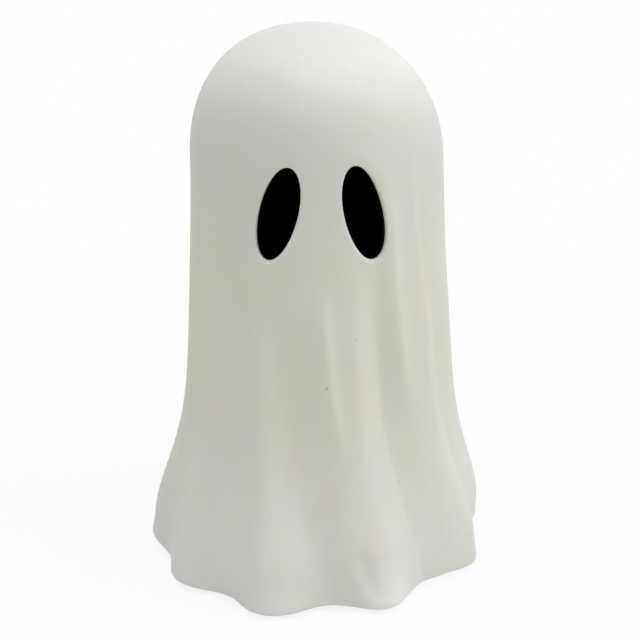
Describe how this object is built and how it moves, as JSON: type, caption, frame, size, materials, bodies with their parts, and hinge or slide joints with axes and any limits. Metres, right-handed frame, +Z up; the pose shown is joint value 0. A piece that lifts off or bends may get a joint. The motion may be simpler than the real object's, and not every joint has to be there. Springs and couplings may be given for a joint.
{
  "type": "ghost statue",
  "caption": "Hollow cast sheet ghost with two pierced oval eyes and a scalloped hem, standing on soft pads over a battery lamp that closes its open bottom.",
  "frame": {"origin": "middle of the footprint, at the level of the surface that the foot pads stand on", "axes": "+Z up the statue, -Y out of its face, +X to the right of someone who looks at the face"},
  "size_m": [0.1802, 0.1875, 0.28],
  "materials": {
    "cast_white": "matte",
    "base_plastic": "matte",
    "door_plastic": "matte",
    "post_plastic": "satin",
    "switch_black": "satin",
    "knob_black": "satin",
    "pad_rubber": "matte",
    "cell_jacket": "satin",
    "bright_steel": "satin",
    "screw_steel": "satin",
    "board_white": "satin",
    "light_clear": "gloss",
    "diffuser_frost": "matte",
    "lead_red": "satin",
    "lead_black": "satin"
  },
  "bodies": {
    "statue": {"base_screw_1": "screw_steel", "base_screw_2": "screw_steel", "base_screw_3": "screw_steel", "battery_1": "cell_jacket", "battery_2": "cell_jacket", "battery_3": "cell_jacket", "battery_spring_1": "bright_steel", "battery_spring_2": "bright_steel", "battery_spring_3": "bright_steel", "board_screw_1": "screw_steel", "board_screw_2": "screw_steel", "contact_plate_1": "bright_steel", "contact_plate_2": "bright_steel", "contact_plate_3": "bright_steel", "diffuser": "diffuser_frost", "foot_pad_1": "pad_rubber", "foot_pad_2": "pad_rubber", "foot_pad_3": "pad_rubber", "foot_pad_4": "pad_rubber", "ghost_shell": "cast_white", "lamp_base": "base_plastic", "lamp_post": "post_plastic", "lead_battery_board": "lead_black", "lead_battery_switch": "lead_red", "lead_switch_board": "lead_red", "led_1": "light_clear", "led_2": "light_clear", "led_3": "light_clear", "led_board": "board_white", "switch_body": "switch_black"},
    "battery_door": {"battery_door": "door_plastic"},
    "switch_slider": {"switch_slider": "knob_black"}
  },
  "joints": [
    {"name": "battery_door_hinge", "type": "hinge", "parent": "statue", "child": "battery_door", "pos_m": [0, 0.02045, 0.0037], "axis": [1, 0, 0], "range_deg": [0, 95]},
    {"name": "switch_slide", "type": "slide", "parent": "statue", "child": "switch_slider", "axis": [1, 0, 0], "range_m": [0, 0.003]}
  ]
}
